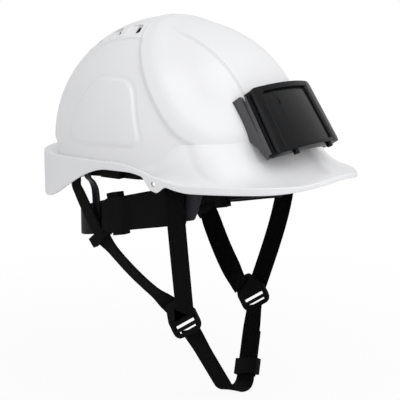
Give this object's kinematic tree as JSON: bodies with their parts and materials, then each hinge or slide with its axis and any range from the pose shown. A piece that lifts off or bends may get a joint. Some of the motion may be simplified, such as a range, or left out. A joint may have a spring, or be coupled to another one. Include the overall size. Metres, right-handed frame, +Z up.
{
  "type": "safety helmet",
  "caption": "Peaked industrial helmet with a vented ribbed dome, a hinged card holder over the peak, a webbing head cradle with a sliding nape yoke and a Y-shaped chin harness.",
  "frame": {"origin": "middle of the head opening, where a head carries the helmet", "axes": "-Y is the way the peak points, +X the wearer's left, +Z up to the crown"},
  "size_m": [0.218, 0.2895, 0.3296],
  "materials": {
    "shell_white": "smooth glossy moulded plastic",
    "black_plastic": "satin black plastic",
    "grey_plastic": "satin grey-blue plastic",
    "webbing": "woven black webbing",
    "sweat_foam": "soft black cloth over foam",
    "holder_grey": "satin dark grey plastic",
    "holder_black": "glossy black plastic",
    "smoked_window": "dark smoked clear plastic",
    "steel": "plain steel"
  },
  "bodies": {
    "helmet": {"shell": "shell_white", "cradle_ring": "black_plastic", "hanger_front_right": "black_plastic", "hanger_front_left": "black_plastic", "hanger_ear_right": "black_plastic", "hanger_ear_left": "black_plastic", "hanger_rear_right": "black_plastic", "hanger_rear_left": "black_plastic", "cradle_strap_cross": "webbing", "cradle_strap_front_right": "webbing", "cradle_strap_front_left": "webbing", "headband": "grey_plastic", "sweatband": "sweat_foam", "side_band_right": "black_plastic", "side_band_left": "black_plastic", "size_keeper_right": "black_plastic", "size_keeper_left": "black_plastic", "yoke_arm_right": "grey_plastic", "yoke_arm_left": "grey_plastic", "front_strap_right": "webbing", "front_strap_left": "webbing", "rear_strap_upper_right": "webbing", "rear_strap_upper_left": "webbing", "rear_strap_lower_right": "webbing", "rear_strap_lower_left": "webbing", "y_buckle_right": "black_plastic", "y_buckle_left": "black_plastic", "chin_strap": "webbing", "strap_tail": "webbing", "badge_base": "holder_grey", "hinge_pin_right": "steel", "hinge_pin_left": "steel", "holder_rivet_right": "steel", "holder_rivet_left": "steel"},
    "cover": {"badge_cover": "holder_black", "badge_window": "smoked_window", "cover_latch_right": "holder_black", "cover_latch_left": "holder_black"},
    "nape_slider": {"nape_yoke": "black_plastic", "nape_pad": "sweat_foam", "strap_guide_right": "black_plastic", "strap_guide_left": "black_plastic"},
    "slider_block": {"strap_slider": "black_plastic"}
  },
  "joints": [
    {"name": "badge_cover_hinge", "type": "hinge", "parent": "helmet", "child": "cover", "pos_m": [0, -0.10358, 0.06442], "axis": [-1, 0, 0], "range_deg": [0, 75]},
    {"name": "nape_slide", "type": "slide", "parent": "helmet", "child": "nape_slider", "axis": [0, 0.9806, -0.1961], "range_m": [0, 0.035], "deforming": ["yoke_arm_right", "yoke_arm_left", "rear_strap_upper_right", "rear_strap_upper_left", "rear_strap_lower_right", "rear_strap_lower_left"]},
    {"name": "strap_slide", "type": "slide", "parent": "helmet", "child": "slider_block", "axis": [0.4813, 0.1883, 0.8561], "range_m": [0, 0.03]}
  ]
}
